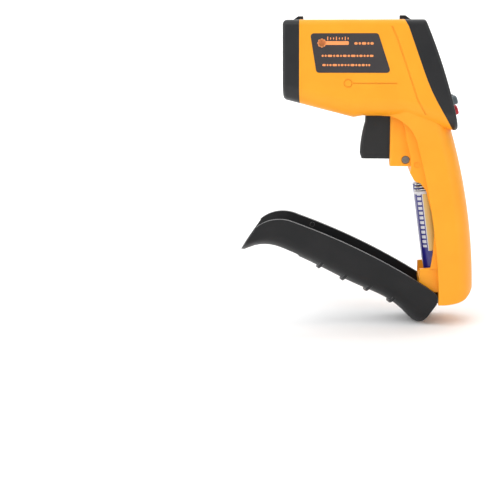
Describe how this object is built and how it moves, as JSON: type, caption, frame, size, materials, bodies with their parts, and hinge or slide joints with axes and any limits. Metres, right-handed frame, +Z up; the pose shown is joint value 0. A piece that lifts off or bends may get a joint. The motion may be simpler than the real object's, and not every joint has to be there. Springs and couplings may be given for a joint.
{
  "type": "infrared thermometer",
  "caption": "Pistol-shaped handheld infrared thermometer with a trigger, a rear display with keys and a battery door that swings down from the front of the grip.",
  "frame": {"origin": "middle of the hand grip, on the plane where the two housing halves meet", "axes": "+Z up along the height of the held instrument, -X the way the lens looks, Y across its width"},
  "size_m": [0.1265, 0.0422, 0.1642],
  "materials": {
    "orange_shell": "satin moulded ABS",
    "black_plastic": "fine matt moulded ABS",
    "label_print": "matt printed film",
    "grey_key": "matt silicone",
    "red_key": "matt silicone",
    "clear_window": "clear polished",
    "screw_steel": "zinc plated",
    "tube_black": "matt anti-reflection black",
    "lens_dark": "dark infrared lens",
    "sensor_metal": "nickel plated can",
    "board_green": "solder mask",
    "brass": "turned brass",
    "lcd_glass": "reflective display",
    "white_plastic": "diffuse white",
    "elastomer": "conductive rubber",
    "switch_black": "moulded",
    "spring_steel": "nickel plated wire",
    "cell_wrap": "metallised printed film",
    "contact_nickel": "nickel plated strip"
  },
  "bodies": {
    "root": {"housing_left": "orange_shell", "housing_right": "orange_shell", "front_bezel": "black_plastic", "rear_bezel": "black_plastic", "housing_screws": "screw_steel", "label_left": "label_print", "label_right": "label_print", "sensor_tube": "tube_black", "ir_lens": "lens_dark", "thermopile": "sensor_metal", "sensor_board": "board_green", "laser_module": "brass", "laser_lens": "clear_window", "laser_board": "board_green", "display_window": "clear_window", "lcd_frame": "white_plastic", "lcd_panel": "lcd_glass", "backlight": "white_plastic", "elastomer_strips": "elastomer", "main_board": "board_green", "key_switches": "switch_black", "buzzer": "switch_black", "trigger_spring": "spring_steel", "trigger_switch": "switch_black", "battery_cell_near": "cell_wrap", "battery_cell_far": "cell_wrap", "contact_spring_near": "spring_steel", "contact_spring_far": "spring_steel", "contact_negative": "contact_nickel", "contact_positive": "contact_nickel", "contact_bridge": "contact_nickel"},
    "battery_door": {"battery_door": "black_plastic"},
    "trigger": {"trigger": "black_plastic"},
    "button_left": {"button_left": "grey_key"},
    "button_right": {"button_right": "grey_key"},
    "button_laser": {"button_laser": "red_key"}
  },
  "joints": [
    {"name": "battery_door_hinge", "type": "hinge", "parent": "root", "child": "battery_door", "pos_m": [-0.0016, 0, -0.047], "axis": [0, 1, 0], "range_deg": [0, 55]},
    {"name": "trigger_pull", "type": "slide", "parent": "root", "child": "trigger", "axis": [1, 0, 0], "range_m": [0, 0.0035], "stiffness_N_per_m": 900, "deforming": ["trigger_spring"]},
    {"name": "button_left_press", "type": "slide", "parent": "root", "child": "button_left", "axis": [-0.9489, 0, -0.3157], "range_m": [0, 0.0008], "stiffness_N_per_m": 600},
    {"name": "button_right_press", "type": "slide", "parent": "root", "child": "button_right", "axis": [-0.9489, 0, -0.3157], "range_m": [0, 0.0008], "stiffness_N_per_m": 600},
    {"name": "button_laser_press", "type": "slide", "parent": "root", "child": "button_laser", "axis": [-0.9489, 0, -0.3157], "range_m": [0, 0.0008], "stiffness_N_per_m": 600}
  ]
}
